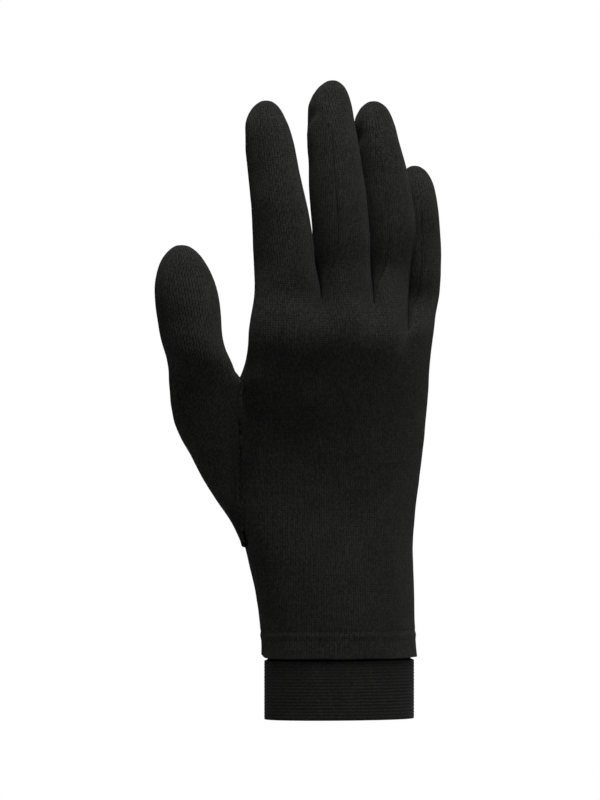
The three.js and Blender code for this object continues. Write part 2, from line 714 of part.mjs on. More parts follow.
// One piece of cloth as a closed wall: its outer side, its inner side and its edges.
// Its edge points are drawn in by half of the seam gap.
function cloth_piece(name) {
  const own_faces = faces.filter((face) => face.piece === name);
  const edges = new Map();
  for (const face of own_faces) {
    face.corners.forEach((from, place) => {
      const to = face.corners[(place + 1) % face.corners.length];
      edges.set(`${from} ${to}`, { from, to });
    });
  }
  const borders = [...edges.values()].filter(({ from, to }) => !edges.has(`${to} ${from}`));
  const inward_of = new Map();
  for (const { from, to } of borders) {
    const along = points[to].clone().sub(points[from]);
    for (const corner of [from, to]) {
      const inward = new THREE.Vector3().crossVectors(directions[corner], along).normalize();
      inward_of.set(corner, [...(inward_of.get(corner) ?? []), inward]);
    }
  }
  const outer_of = new Map();
  const inner_of = new Map();
  const positions = [];
  for (const face of own_faces) {
    for (const corner of face.corners) {
      if (outer_of.has(corner)) continue;
      const place = points[corner].clone();
      const wall = wall_at(place);
      if (inward_of.has(corner)) place.add(drawn_in(inward_of.get(corner)));
      outer_of.set(corner, positions.length / 3);
      positions.push(...place.toArray());
      inner_of.set(corner, positions.length / 3);
      positions.push(...place.addScaledVector(directions[corner], -wall).toArray());
    }
  }
  const index = [];
  for (const face of own_faces) {
    const outer = face.corners.map((corner) => outer_of.get(corner));
    const inner = face.corners.map((corner) => inner_of.get(corner)).reverse();
    for (const ring of [outer, inner]) {
      for (let turn = 1; turn + 1 < ring.length; turn += 1) {
        index.push(ring[0], ring[turn], ring[turn + 1]);
      }
    }
  }
  for (const { from, to } of borders) {
    const ring = [outer_of.get(to), outer_of.get(from), inner_of.get(from), inner_of.get(to)];
    if (from > to) ring.push(ring.shift());
    index.push(ring[0], ring[1], ring[2], ring[0], ring[2], ring[3]);
  }
  return named_mesh(name, positions, index);
}

function named_mesh(name, positions, index) {
  const geometry = new THREE.BufferGeometry();
  geometry.setAttribute('position', new THREE.Float32BufferAttribute(positions, 3));
  geometry.setIndex(index);
  geometry.computeVertexNormals();
  const material = new THREE.MeshStandardMaterial({
    color: cloth_colour,
    roughness: cloth_roughness,
    metalness: 0,
  });
  const mesh = new THREE.Mesh(geometry, material);
  mesh.name = name;
  return mesh;
}

// Points round the whole wrist at a height, in the same columns as the hem
function wrist_ring(up) {
  const back = span(face_columns + 1).map((column) => face_point(up, column, 1));
  const far = span(step_counts.finger_wall - 1).map((step) => far_wall_point(up, step + 1));
  const front = span(face_columns + 1).map((column) => face_point(up, face_columns - column, -1));
  const near = span(step_counts.thumb_round - 1).map((step) => mound_point(up, step + 1));
  return [...back, ...far, ...front, ...near];
}

// The elastic band: a closed profile carried round the wrist's oval. Its upper end is tucked
// up inside the hem. inset is how far a corner of the profile lies inside the hem's surface.
function cuff_band() {
  const tuck_inset = hem_cloth + seam_gap;
  const top = hem_edge + cuff_tuck;
  const shoulder = cuff_height - cuff_cloth;
  const profile = [
    { inset: cuff_step, z: 0 },
    { inset: cuff_step, z: cuff_height / 2 },
    { inset: cuff_step, z: cuff_height },
    { inset: tuck_inset, z: cuff_height },
    { inset: tuck_inset, z: top },
    { inset: tuck_inset + cuff_cloth, z: top },
    { inset: tuck_inset + cuff_cloth, z: shoulder },
    { inset: cuff_step + cuff_cloth, z: shoulder - cuff_tuck },
    { inset: cuff_step + cuff_cloth, z: 0 },
  ];
  const rings = profile.map((corner) => {
    const ring = wrist_ring(Math.max(0, corner.z - hem_edge) / palm_length);
    return ring.map((here, place) => {
      const before = ring[(place + ring.length - 1) % ring.length];
      const after = ring[(place + 1) % ring.length];
      const inward = new THREE.Vector3(before.y - after.y, after.x - before.x, 0).normalize();
      return here.clone().addScaledVector(inward, corner.inset).setZ(corner.z);
    });
  });
  const positions = [];
  const index = [];
  const around = rings[0].length;
  for (const ring of rings) positions.push(...ring.flatMap((point) => point.toArray()));
  for (const row of span(rings.length)) {
    const above = (row + 1) % rings.length;
    for (const column of span(around)) {
      const next = (column + 1) % around;
      const quad = [
        row * around + column, row * around + next, above * around + next, above * around + column,
      ];
      index.push(quad[0], quad[1], quad[2], quad[0], quad[2], quad[3]);
    }
  }
  return named_mesh('cuff_band', positions, index);
}

const glove_liner = new THREE.Group();
glove_liner.add(cloth_piece('hand'));
glove_liner.add(cloth_piece('thumb'));
for (const gap of span(fingers - 1)) glove_liner.add(cloth_piece(fourchette_name(gap)));
glove_liner.add(cuff_band());

export default glove_liner;
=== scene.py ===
# %% [markdown]
# # A thin knitted glove liner
#
# This lesson dresses a plain model of a glove liner until it looks like the real one. The model
# comes from a frame that never moves: it holds the six sewn pieces as solids, in metres. Every
# piece made here starts from one of those solids, so no piece has to be placed by eye.

# %% Load the frame
import math
import bmesh
import bpy
import numpy as np
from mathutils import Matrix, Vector, noise


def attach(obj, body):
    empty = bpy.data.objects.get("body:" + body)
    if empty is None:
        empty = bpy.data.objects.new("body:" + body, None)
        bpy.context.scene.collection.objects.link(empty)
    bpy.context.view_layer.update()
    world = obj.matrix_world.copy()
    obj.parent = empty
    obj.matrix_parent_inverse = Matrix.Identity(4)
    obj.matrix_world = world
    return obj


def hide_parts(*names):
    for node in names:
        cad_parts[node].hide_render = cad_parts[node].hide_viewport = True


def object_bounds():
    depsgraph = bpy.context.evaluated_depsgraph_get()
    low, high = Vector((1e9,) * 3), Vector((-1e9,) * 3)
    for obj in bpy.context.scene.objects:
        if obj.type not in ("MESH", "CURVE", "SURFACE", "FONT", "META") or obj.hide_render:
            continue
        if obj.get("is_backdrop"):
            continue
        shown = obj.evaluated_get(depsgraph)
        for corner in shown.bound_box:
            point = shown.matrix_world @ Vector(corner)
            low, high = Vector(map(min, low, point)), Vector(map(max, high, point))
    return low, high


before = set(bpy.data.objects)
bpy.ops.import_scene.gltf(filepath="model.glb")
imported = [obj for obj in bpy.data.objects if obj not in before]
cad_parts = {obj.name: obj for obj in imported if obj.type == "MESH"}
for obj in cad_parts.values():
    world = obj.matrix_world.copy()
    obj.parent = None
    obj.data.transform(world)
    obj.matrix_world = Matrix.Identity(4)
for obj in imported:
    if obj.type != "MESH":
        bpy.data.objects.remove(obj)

cad_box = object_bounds()
scene = bpy.context.scene
mm = 0.001
print("solids:", ", ".join(sorted(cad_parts)))

# %% [markdown]
# ## The camera
#
# The liner is seen square on, from the back of the hand, as a long lens sees it. A long lens
# stands far away, so the fingers that lie nearer don't look larger. One pixel of the picture
# covers 0.4 mm of the liner, which gives the lens once the distance is chosen.

# %% Set up the camera
picture_height_px = 800
mm_per_px = 0.4
picture_middle = Vector((-16.2, 0, 127.5)) * mm
camera_distance = 3.2
sensor = 36

seen_height = picture_height_px * mm_per_px * mm
camera_data = bpy.data.cameras.new("long_lens")
camera_data.sensor_width = sensor
camera_data.lens = sensor * camera_distance / seen_height
camera = bpy.data.objects.new("camera", camera_data)
camera.location = picture_middle + Vector((0, -camera_distance, 0))
camera.rotation_euler = (math.radians(90), 0, 0)
scene.collection.objects.link(camera)
scene.camera = camera
print(f"lens {camera_data.lens:.0f} mm at {camera_distance} m")

# %% [markdown]
# ## The cloth's outer side
#
# The real liner is cut from jersey and sewn: a hand, a thumb and three narrow strips between
# the fingers. The solids have those pieces already, as closed walls with an outer side, an inner
# side and narrow edges. Only the outer side is wanted at first, because the cloth's folds are
# modelled on it. The edges are easy to tell: each of their faces has a side exactly as long as
# the cloth is thick. Without them, a wall falls apart into its two sides.

# %% Take the outer sides from the solids
cloth = 1.2
hem_cloth = 1.9
weld_distance = 0.002
thickness_slip = 0.002
sharp_edge = math.radians(35)
cloth_pieces = [
    "hand",
    "thumb",
    "fourchette_index_middle",
    "fourchette_middle_ring",
    "fourchette_ring_little",
]


def is_thickness(edge):
    length = edge.calc_length()
    return min(abs(length - cloth), abs(length - hem_cloth)) < thickness_slip


def is_edge_wall(face):
    bends = [edge.calc_face_angle(0) for edge in face.edges]
    return any(is_thickness(edge) for edge in face.edges) and max(bends) > sharp_edge


def connected_parts(net):
    """The faces of a net, in groups that hang together."""
    waiting = set(net.faces)
    parts = []
    while waiting:
        part = []
        front = [waiting.pop()]
        while front:
            face = front.pop()
            part.append(face)
            for edge in face.edges:
                for other in edge.link_faces:
                    if other in waiting:
                        waiting.remove(other)
                        front.append(other)
        parts.append(part)
    return parts


def border_points(part):
    own = set(part)
    edges = {edge for face in part for edge in face.edges}
    rim = [edge for edge in edges if len([f for f in edge.link_faces if f in own]) == 1]
    return {vertex for edge in rim for vertex in edge.verts}


def two_sides(name):
    """Both sides of a piece's wall, each as points in millimetres, triangles and rim."""
    net = bmesh.new()
    net.from_mesh(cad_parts[name].data)
    bmesh.ops.scale(net, vec=Vector((1, 1, 1)) / mm, verts=net.verts)
    bmesh.ops.remove_doubles(net, verts=net.verts, dist=weld_distance)
    walls = [face for face in net.faces if is_edge_wall(face)]
    bmesh.ops.delete(net, geom=walls, context="FACES_ONLY")
    sides = []
    for part in sorted(connected_parts(net), key=len)[-2:]:
        vertices = sorted({v for face in part for v in face.verts}, key=lambda v: v.index)
        place = {vertex: i for i, vertex in enumerate(vertices)}
        sides.append({
            "points": np.array([v.co for v in vertices]),
            "triangles": [[place[v] for v in face.verts] for face in part],
            "rim": sorted(place[v] for v in border_points(part)),
            "area": sum(face.calc_area() for face in part),
        })
    net.free()
    return sides


def pair_up(rim, hand_rim):
    """Each rim point's own point on the hand's rim, closest pairs first, and their mean gap."""
    gaps = np.linalg.norm(rim[:, None] - hand_rim[None], axis=2)
    partners = np.zeros(len(rim), int)
    total = 0
    for _ in rim:
        own, other = np.unravel_index(np.argmin(gaps), gaps.shape)
        partners[own] = other
        total += gaps[own, other]
        gaps[own] = np.inf
        gaps[:, other] = np.inf
    return partners, total / len(rim)


hand_side = max(two_sides("hand"), key=lambda side: side["area"])
outer_sides = [hand_side]
hand_rim = hand_side["points"][hand_side["rim"]]
for name in cloth_pieces[1:]:
    sides = two_sides(name)
    gaps = [pair_up(side["points"][side["rim"]], hand_rim)[1] for side in sides]
    outer_sides.append(sides[int(np.argmin(gaps))])
    print(f"{name}: rim lies {min(gaps):.2f} mm from the hand's, the other side {max(gaps):.2f} mm")

# %% [markdown]
# ## Sewing the outer sides into one net
#
# On the real liner the pieces are pulled over one hand, so the surface runs on smoothly from
# piece to piece, and only the stitching makes a groove. The five outer sides are therefore sewn
# together first, smoothed as one net with a subdivision surface, and cut apart again later. Each
# face keeps its piece's number as its material, which the smoothing passes on to the new faces.
# Smoothing makes a form a little thinner, so the coarse points are first moved out to make up
# for it. The upper ends of the strips are looked up here too, for the seams to close there.

# %% Sew the sides together and smooth them
smoothing_levels = 2
strip_ends_above = 200
same_row = 0.5
shortest_row = 3
size_rounds = 2
size_kept = 0.8


def sewn_net():
    """One mesh of all outer sides, where each rim point is shared with the hand's rim."""
    points = [list(map(float, p)) for p in hand_side["points"]]
    sewn = {}
    triangles = [(0, triangle) for triangle in hand_side["triangles"]]
    for number, side in enumerate(outer_sides[1:], start=1):
        rim = side["rim"]
        matches, _ = pair_up(side["points"][rim], hand_rim)
        partner = {own: hand_side["rim"][match] for own, match in zip(rim, matches)}
        place = []
        for own, point in enumerate(side["points"]):
            if own in partner:
                sewn.setdefault(partner[own], []).append(point)
                place.append(partner[own])
            else:
                place.append(len(points))
                points.append(list(map(float, point)))
        triangles += [(number, [place[i] for i in triangle]) for triangle in side["triangles"]]
    for place, others in sewn.items():
        points[place] = np.mean([points[place], *others], axis=0).tolist()
    doubled = sum(len(others) > 1 for others in sewn.values())
    print(f"sewn points: {len(sewn)}, of which shared more than twice: {doubled}")
    mesh = bpy.data.meshes.new("sewn_net")
    mesh.from_pydata(points, [], [triangle for _, triangle in triangles])
    for name in cloth_pieces:
        mesh.materials.append(bpy.data.materials.new("number_" + name))
    mesh.polygons.foreach_set("material_index", [number for number, _ in triangles])
    return mesh


def find_strip_tips(net):
    """The middle of each strip's upper end: a row of border points at one height."""
    tips = []
    for number in range(2, len(cloth_pieces)):
        border = [v for v in net.verts if {f.material_index for f in v.link_faces} == {0, number}]
        high = sorted((v for v in border if v.co.z > strip_ends_above), key=lambda v: v.co.z)
        starts = [i for i, v in enumerate(high) if i == 0 or v.co.z - high[i - 1].co.z > same_row]
        for start, end in zip(starts, starts[1:] + [len(high)]):
            if end - start > shortest_row:
                tips.append(np.mean([v.co for v in high[start:end]], axis=0))
    return tips


def net_of_quads(mesh):
    """Joins the mesh's triangles in pairs, and finds where the strips end."""
    net = bmesh.new()
    net.from_mesh(mesh)
    bmesh.ops.join_triangles(
        net,
        faces=net.faces,
        cmp_materials=True,
        angle_face_threshold=math.pi,
        angle_shape_threshold=math.pi,
    )
    tips = find_strip_tips(net)
    left = len([face for face in net.faces if len(face.verts) == 3])
    print(f"net: {len(net.faces)} faces, of which {left} are triangles")
    net.to_mesh(mesh)
    net.free()
    return tips


def point_places(mesh):
    places = np.zeros(len(mesh.vertices) * 3)
    mesh.vertices.foreach_get("co", places)
    return places.reshape(-1, 3)


def smoothed(thing):
    """The smooth net's points, faces of four corners, and piece numbers."""
    thing.data.update()
    done = thing.evaluated_get(bpy.context.evaluated_depsgraph_get()).to_mesh()
    quads = np.zeros(len(done.polygons) * 4, int)
    done.polygons.foreach_get("vertices", quads)
    numbers = np.zeros(len(done.polygons), int)
    done.polygons.foreach_get("material_index", numbers)
    return point_places(done), quads.reshape(-1, 4), numbers


def keep_size(thing):
    """Moves the coarse points out, so that the smooth net comes closer to where they were."""
    wanted = point_places(thing.data)
    places = wanted.copy()
    for _ in range(size_rounds):
        smooth_points, _, _ = smoothed(thing)
        lost = wanted - smooth_points[:len(wanted)]
        print(f"lost by smoothing: {np.linalg.norm(lost, axis=1).max():.2f} mm at most")
        places += lost * size_kept
        thing.data.vertices.foreach_set("co", places.ravel())


net_mesh = sewn_net()
strip_tips = net_of_quads(net_mesh)
net_thing = bpy.data.objects.new("sewn_net", net_mesh)
scene.collection.objects.link(net_thing)
net_thing.modifiers.new("smooth", "SUBSURF").levels = smoothing_levels
keep_size(net_thing)
points, quads, piece_numbers = smoothed(net_thing)
bpy.data.objects.remove(net_thing)
bpy.data.meshes.remove(net_mesh)
print(f"smooth net: {len(points)} points, {len(quads)} faces")

# %% [markdown]
# ## Finer rows at the hem
#
# The hem's fold and its stitched line are only about a millimetre wide, finer than the net. The
# rows of faces there run right round the wrist, so each can be split into three without leaving
# a crack, and the rest of the net stays as coarse as it may be.

# %% Split the hem's rows
hem_rows_below = 39
hem_split = 3


def upright_first(quad):
    """The quad's corners, turned so that its second and fourth sides run upwards."""
    a, b, c, d = points[quad]
    if abs(b[2] - c[2]) + abs(d[2] - a[2]) < abs(a[2] - b[2]) + abs(c[2] - d[2]):
        return [quad[1], quad[2], quad[3], quad[0]]
    return list(quad)


def split_hem_rows():
    low = points[quads].mean(axis=1)[:, 2] < hem_rows_below
    new_points = list(points)
    between = {}

    def steps(start, end):
        if (end, start) in between:
            return between[end, start][::-1]
        if (start, end) not in between:
            line = [start]
            for part in range(1, hem_split):
                new_points.append(points[start] + (points[end] - points[start]) * part / hem_split)
                line.append(len(new_points) - 1)
            between[start, end] = line + [end]
        return between[start, end]

    new_quads = []
    for quad in quads[low]:
        a, b, c, d = upright_first(quad)
        right = steps(b, c)
        left = steps(a, d)
        new_quads += [
            (left[i], right[i], right[i + 1], left[i + 1]) for i in range(hem_split)
        ]
    numbers = np.concatenate([piece_numbers[~low], np.repeat(piece_numbers[low], hem_split)])
    return np.array(new_points), np.concatenate([quads[~low], new_quads]), numbers


points, quads, piece_numbers = split_hem_rows()
print(f"with finer hem rows: {len(points)} points, {len(quads)} faces")

# %% [markdown]
# ## Measuring on the net
#
# Folds and seams need to know which way the cloth faces at each point, and where the seams
# run. The first comes from the faces round a point, the second from the points that the hand
# shares with another piece.

# %% Find directions and seams
def ease(share):
    """Goes from 0 to 1 with a soft start and end."""
    held = np.clip(share, 0, 1)
    return held * held * (3 - 2 * held)


def face_directions(points, quads):
    a, b, c, d = (points[quads[:, i]] for i in range(4))
    return np.cross(c - a, d - b)


def point_directions(points, quads):
    sums = np.zeros_like(points)
    directions = face_directions(points, quads)
    for corner in range(4):
        np.add.at(sums, quads[:, corner], directions)
    return sums / np.linalg.norm(sums, axis=1, keepdims=True)


def net_edges(quads):
    pairs = np.concatenate([quads[:, [i, (i + 1) % 4]] for i in range(4)])
    return np.unique(np.sort(pairs, axis=1), axis=0)


def seam_points(number):
    """The points that the hand shares with one other piece."""
    hands = np.unique(quads[piece_numbers == 0])
    others = np.unique(quads[piece_numbers == number])
    return np.intersect1d(hands, others)


edges = net_edges(quads)
directions = point_directions(points, quads)
thumb_seam = seam_points(1)
finger_seams = np.concatenate([seam_points(number) for number in range(2, len(cloth_pieces))])
print(f"thumb seam {len(thumb_seam)} points, finger seams {len(finger_seams)} points")

# %% [markdown]
# ## Softening the seams' ends
#
# Where a strip ends on a finger, many narrow faces meet a few wide ones, and the net has small
# lumps that a real stretched cloth hasn't. Averaging neighbours would drag the net sideways.
# Instead, a smooth patch is fitted to the cloth round each point near such an end, and the point
# moves onto it along the way that the cloth faces. The lower end of the thumb's seam is softened
# in the same way.

# %% Soften the seams' ends
end_reach = 9
patch_reach = 4
patch_rounds = 2
same_side = 0.4


def point_areas(points, quads):
    """How much cloth belongs to each point."""
    areas = np.linalg.norm(face_directions(points, quads), axis=1) / 8
    return np.bincount(quads.ravel(), weights=np.repeat(areas, 4), minlength=len(points))


def patch_offset(place, facing, others, weights):
    """How far a smooth patch through the cloth round one point passes from that point."""
    aside = np.cross(facing, (0, 0, 1) if abs(facing[2]) < 0.9 else (1, 0, 0))
    aside /= np.linalg.norm(aside)
    along = np.cross(facing, aside)
    u, v, out = ((others - place) @ way for way in (aside, along, facing))
    shape = np.stack([np.ones_like(u), u, v, u * u, u * v, v * v], axis=1)
    pull = np.sqrt(weights)
    return np.linalg.lstsq(shape * pull[:, None], out * pull, rcond=None)[0][0]


def softened(points, directions, areas, from_ends):
    """The points near the seams' ends, moved onto smooth patches through their surroundings."""
    wide = np.flatnonzero(from_ends < end_reach + patch_reach)
    moved = points.copy()
    for i in np.flatnonzero(from_ends < end_reach):
        far = np.linalg.norm(points[wide] - points[i], axis=1)
        beside = wide[(far < patch_reach) & (directions[wide] @ directions[i] > same_side)]
        far = np.linalg.norm(points[beside] - points[i], axis=1)
        weights = areas[beside] * np.exp(-2 * (far / patch_reach) ** 2)
        offset = patch_offset(points[i], directions[i], points[beside], weights)
        moved[i] += directions[i] * offset * ease(2 - 2 * from_ends[i] / end_reach)
    return moved


thumb_seam_end = points[thumb_seam[np.argmin(points[thumb_seam][:, 2])]]
seam_ends = np.array([*strip_tips, thumb_seam_end])
from_ends = np.linalg.norm(points[:, None] - seam_ends[None], axis=2).min(axis=1)
for _ in range(patch_rounds):
    areas = point_areas(points, quads)
    points = softened(points, directions, areas, from_ends)
    directions = point_directions(points, quads)
print(f"{np.sum(from_ends < end_reach)} points softened round {len(seam_ends)} ends")

# %% [markdown]
# ## Distances to the seams
#
# The seams' grooves need to know how far the nearest seam is. That distance spreads out from the
# seams along the net, edge by edge, so a seam on the next finger doesn't count.

# %% Measure distances to the seams
seam_steps = 9


def distance_from(starts, points, edges):
    """How far each point lies from the starting points, along the net's edges."""
    distance = np.full(len(points), 1000.0)
    distance[starts] = 0
    lengths = np.linalg.norm(points[edges[:, 0]] - points[edges[:, 1]], axis=1)
    for _ in range(seam_steps):
        np.minimum.at(distance, edges[:, 1], distance[edges[:, 0]] + lengths)
        np.minimum.at(distance, edges[:, 0], distance[edges[:, 1]] + lengths)
    return distance


from_thumb_seam = distance_from(thumb_seam, points, edges)
from_finger_seams = distance_from(finger_seams, points, edges)
from_seam = np.minimum(from_thumb_seam, from_finger_seams)
print(f"{np.sum(from_seam < 2)} points lie within 2 mm of a seam")

# %% [markdown]
# ## Folds, hollows and ridges
#
# The cloth is thin and follows the hand inside it: it stretches over the knuckles, sinks into
# the hollow behind them, and drags in a shallow fold at the thumb's root. Each of these is one
# soft bump or dent with a place, a length, a width and a turn, seen from the front. The photo
# shows only their shade, so their depths are guessed. They push the cloth along the way it faces.
# A second table trims the outline by a few tenths of a millimetre, on both sides of the hand, and
# a third one pulls the crotches down a little, as fingers do that push into a tight glove.

# %% Shape the back of the hand
# across and up are places in millimetres, long and wide are reaches, turn is in degrees from
# upright towards the little finger, and out is how far the cloth comes out
back_rows = [
    {"across": -16, "up": 154, "long": 12, "wide": 30, "turn": 0, "out": 1.6},
    {"across": -18, "up": 145, "long": 20, "wide": 26, "turn": 0, "out": 1.3},
    {"across": -18, "up": 112, "long": 30, "wide": 30, "turn": 0, "out": -4.4},
    {"across": 18, "up": 152, "long": 12, "wide": 16, "turn": -10, "out": 0.8},
    {"across": -31, "up": 106, "long": 12, "wide": 12, "turn": 0, "out": -1.1},
    {"across": -13, "up": 101, "long": 22, "wide": 4, "turn": -45, "out": -0.4},
    {"across": 26.5, "up": 153, "long": 8, "wide": 3.5, "turn": 0, "out": -0.9},
    {"across": 22, "up": 82, "long": 30, "wide": 14, "turn": 8, "out": 0.8},
]
side_rows = [
    {"across": 7.4, "up": 229, "long": 8, "wide": 3.5, "turn": 0, "out": 0.35},
    {"across": -11.5, "up": 234, "long": 9, "wide": 3, "turn": 0, "out": 0.5},
    {"across": 19, "up": 246, "long": 9, "wide": 8, "turn": 0, "out": 0.5},
    {"across": 25, "up": 216, "long": 8, "wide": 8, "turn": 0, "out": 0.6},
    {"across": -72, "up": 164, "long": 18, "wide": 6, "turn": 0, "out": -0.5},
]
crotch_rows = [
    {"across": -7.4, "up": 169.5, "reach": 7, "down": 2.4},
    {"across": 13.4, "up": 169.0, "reach": 7, "down": 2.6},
    {"across": 27.0, "up": 159.0, "reach": 7, "down": 2.0},
    {"across": -41.8, "up": 137.0, "reach": 6, "down": 2.0},
]
front_slant = 0.6


def soft_bump(row, across, up):
    turn = math.radians(row["turn"])
    along = (up - row["up"]) * math.cos(turn) + (across - row["across"]) * math.sin(turn)
    aside = (across - row["across"]) * math.cos(turn) - (up - row["up"]) * math.sin(turn)
    return row["out"] * np.exp(-((along / row["long"]) ** 2) - (aside / row["wide"]) ** 2)


for crotch in crotch_rows:
    far = np.hypot(points[:, 0] - crotch["across"], points[:, 2] - crotch["up"])
    points[:, 2] -= crotch["down"] * np.exp(-((far / crotch["reach"]) ** 2))
facing_front = ease(-directions[:, 1] / front_slant)
relief = np.zeros(len(points))
for row in side_rows:
    relief += soft_bump(row, points[:, 0], points[:, 2])
for row in back_rows:
    relief += soft_bump(row, points[:, 0], points[:, 2]) * facing_front
print(f"relief from {relief.min():.2f} to {relief.max():.2f} mm")

# %% [markdown]
# ## Seams
#
# A sewn seam in jersey is a narrow valley with a soft roll of cloth on each side, because the
# stitches pull the two edges down and the turned-in cloth lifts what lies beside them. The
# distance from the seam gives that profile directly.

# %% Shape the seams
fade_starts = 16
fade_ends = 4
roll_place = 1.7
roll_reach = 1.1
roll_height = 0.07
valley_reach = 0.9
valley_depth = 0.14


def seam_profile(distance):
    roll = roll_height * np.exp(-(((distance - roll_place) / roll_reach) ** 2))
    valley = valley_depth * np.exp(-((distance / valley_reach) ** 2))
    return roll - valley


def seam_strength():
    """How open the seams are at each point: they close up towards the strips' tips."""
    from_tips = np.linalg.norm(points[:, None] - np.array(strip_tips)[None], axis=2).min(axis=1)
    return ease((from_tips - fade_ends) / (fade_starts - fade_ends))


seam_open = seam_strength()
relief += seam_profile(from_seam) * seam_open
print(f"seams fade towards {len(strip_tips)} tips")

# %% [markdown]
# ## Painted shade in the crotches, hollows and tuck
#
# The knit is painted darker at the strips' crotches, over the hollow behind the knuckles, at the
# fingers' roots and in the tuck where the thumb's cloth goes under the hand's. This is painted
# shade, standing in for the shade that falls in these hollows and between the fingers. Jersey
# that is pulled apart could look like this, and so could plain shading: the photo can't tell
# which. Each point gets a number that darkens the knit's finish later. The places and numbers
# were set until the tone came near the photo's, and out is the number in a place's middle.

# %% Paint the shade into the hollows
crotch_shade_up = 20
crotch_shade_across = 9
tuck_starts = -45
tuck_width = 5
web_up = 126
web_fade = 10
shade_rows = [
    {"across": -18, "up": 140, "long": 14, "wide": 18, "turn": 0, "out": 0.45},
    {"across": -20, "up": 112, "long": 32, "wide": 26, "turn": 0, "out": 0.85},
    {"across": -8, "up": 172, "long": 20, "wide": 30, "turn": 0, "out": 0.6},
    {"across": 32, "up": 185, "long": 30, "wide": 8, "turn": 0, "out": 0.4},
]


def shade_near_crotches():
    """How much painted shade each strip's cloth gets: most at its crotch."""
    painted_shade = np.zeros(len(points))
    for crotch in crotch_rows[:3]:
        up = (points[:, 2] - crotch["up"]) / crotch_shade_up
        aside = (points[:, 0] - crotch["across"]) / crotch_shade_across
        painted_shade = np.maximum(painted_shade, np.exp(-(up ** 2) - aside ** 2))
    return painted_shade


painted_shade = shade_near_crotches()
# painted shade on the hand: behind the knuckles, on the hand's back and at the fingers' roots
painted_darkening = sum(soft_bump(row, points[:, 0], points[:, 2]) for row in shade_rows) * facing_front
on_thumb = np.unique(quads[piece_numbers == 1])
# painted shade in the thumb's tuck, below the web
into_tuck = ease((points[on_thumb, 0] - tuck_starts) / tuck_width)
below_web = ease((web_up - points[on_thumb, 2]) / web_fade)
painted_darkening[on_thumb] = into_tuck * below_web
print(f"most_painted_shade: strips {painted_shade.max():.2f}, hand and thumb {painted_darkening.max():.2f}")

# %% [markdown]
# ## The hem
#
# The lower edge is turned in and stitched down. From outside the fold's upper end shows as a
# faint groove with a soft ridge under it, the cloth flares a little below the stitches, and the
# edge itself hangs slightly lower than the band's top and waves. At the thumb's side its corner
# is rounded up. The heights below are in millimetres above the cuff's lower edge.

# %% Shape the hem
hem_lines = [
    {"up": 35.2, "reach": 0.7, "out": -0.16},
    {"up": 33.6, "reach": 0.8, "out": 0.14},
    {"up": 31.4, "reach": 0.7, "out": -0.10},
]
flare_starts = 30
flare_length = 5
flare_out = 0.35
edge_starts = 32
edge_length = 6
edge_drop = 0.95
edge_wave = 0.18
wave_length = 14
corner_across = -29.5
corner_reach = 2.5
corner_rise = 1.7

height = points[:, 2].copy()
for line in hem_lines:
    relief += line["out"] * np.exp(-(((height - line["up"]) / line["reach"]) ** 2))
relief += flare_out * ease((flare_starts - height) / flare_length)
nearness = ease((edge_starts - height) / edge_length)
wave = np.array([noise.noise(Vector((p[0], p[1], 0)) / wave_length) for p in points])
corner = corner_rise * ease((corner_across - points[:, 0]) / corner_reach)
points[:, 2] += nearness * (edge_wave * wave - edge_drop + corner)
print(f"lowest edge {points[:, 2].min():.2f} mm up")

# %% [markdown]
# ## Small unevenness
#
# Jersey never lies quite flat. Two sizes of smooth noise, taken from the place in space, give
# the surface the slight restlessness of knitted cloth. Blender's noise is the same on each run.

# %% Add small unevenness
uneven_sizes = [(11, 0.16), (4.5, 0.07)]
for size, height in uneven_sizes:
    relief += height * np.array([noise.noise(Vector(p / size)) for p in points])
points = points + directions * relief[:, None]
directions = point_directions(points, quads)

# %% [markdown]
# ## Cutting the net into its pieces
#
# Now the net is cut along its seams. Each piece becomes a closed wall again: its outer side, an
# inner side one cloth's thickness behind it, and rims that roll inward between the two, as the
# sewn edge of a cloth does. With the valleys from before, they make each seam a real groove.

# %% Cut out each piece and close its wall
hem_top = 35.5
half_gap = 0.12
closed_gap = 0.01
rim_angle = math.radians(55)
rim_roll = [(0.0, 0.0), (0.25, 0.45), (0.95, 0.85)]


def rim_edges(faces):
    """The outer border of some faces, as pairs of points in the faces' own order."""
    pairs = np.concatenate([faces[:, [i, (i + 1) % 4]] for i in range(4)])
    known = {(int(a), int(b)) for a, b in pairs}
    return [(a, b) for a, b in sorted(known) if (b, a) not in known]


def pulls_inward(border):
    """For each border point, the direction along the cloth, away from the seam."""
    pulls = {}
    for a, b in border:
        along = points[b] - points[a]
        for corner in (a, b):
            inward = np.cross(directions[corner], along)
            pulls.setdefault(corner, []).append(inward / np.linalg.norm(inward))
    found = {}
    for corner, ways in pulls.items():
        mean = np.mean(ways, axis=0)
        found[corner] = mean / max(np.linalg.norm(mean), 0.3)
    return found


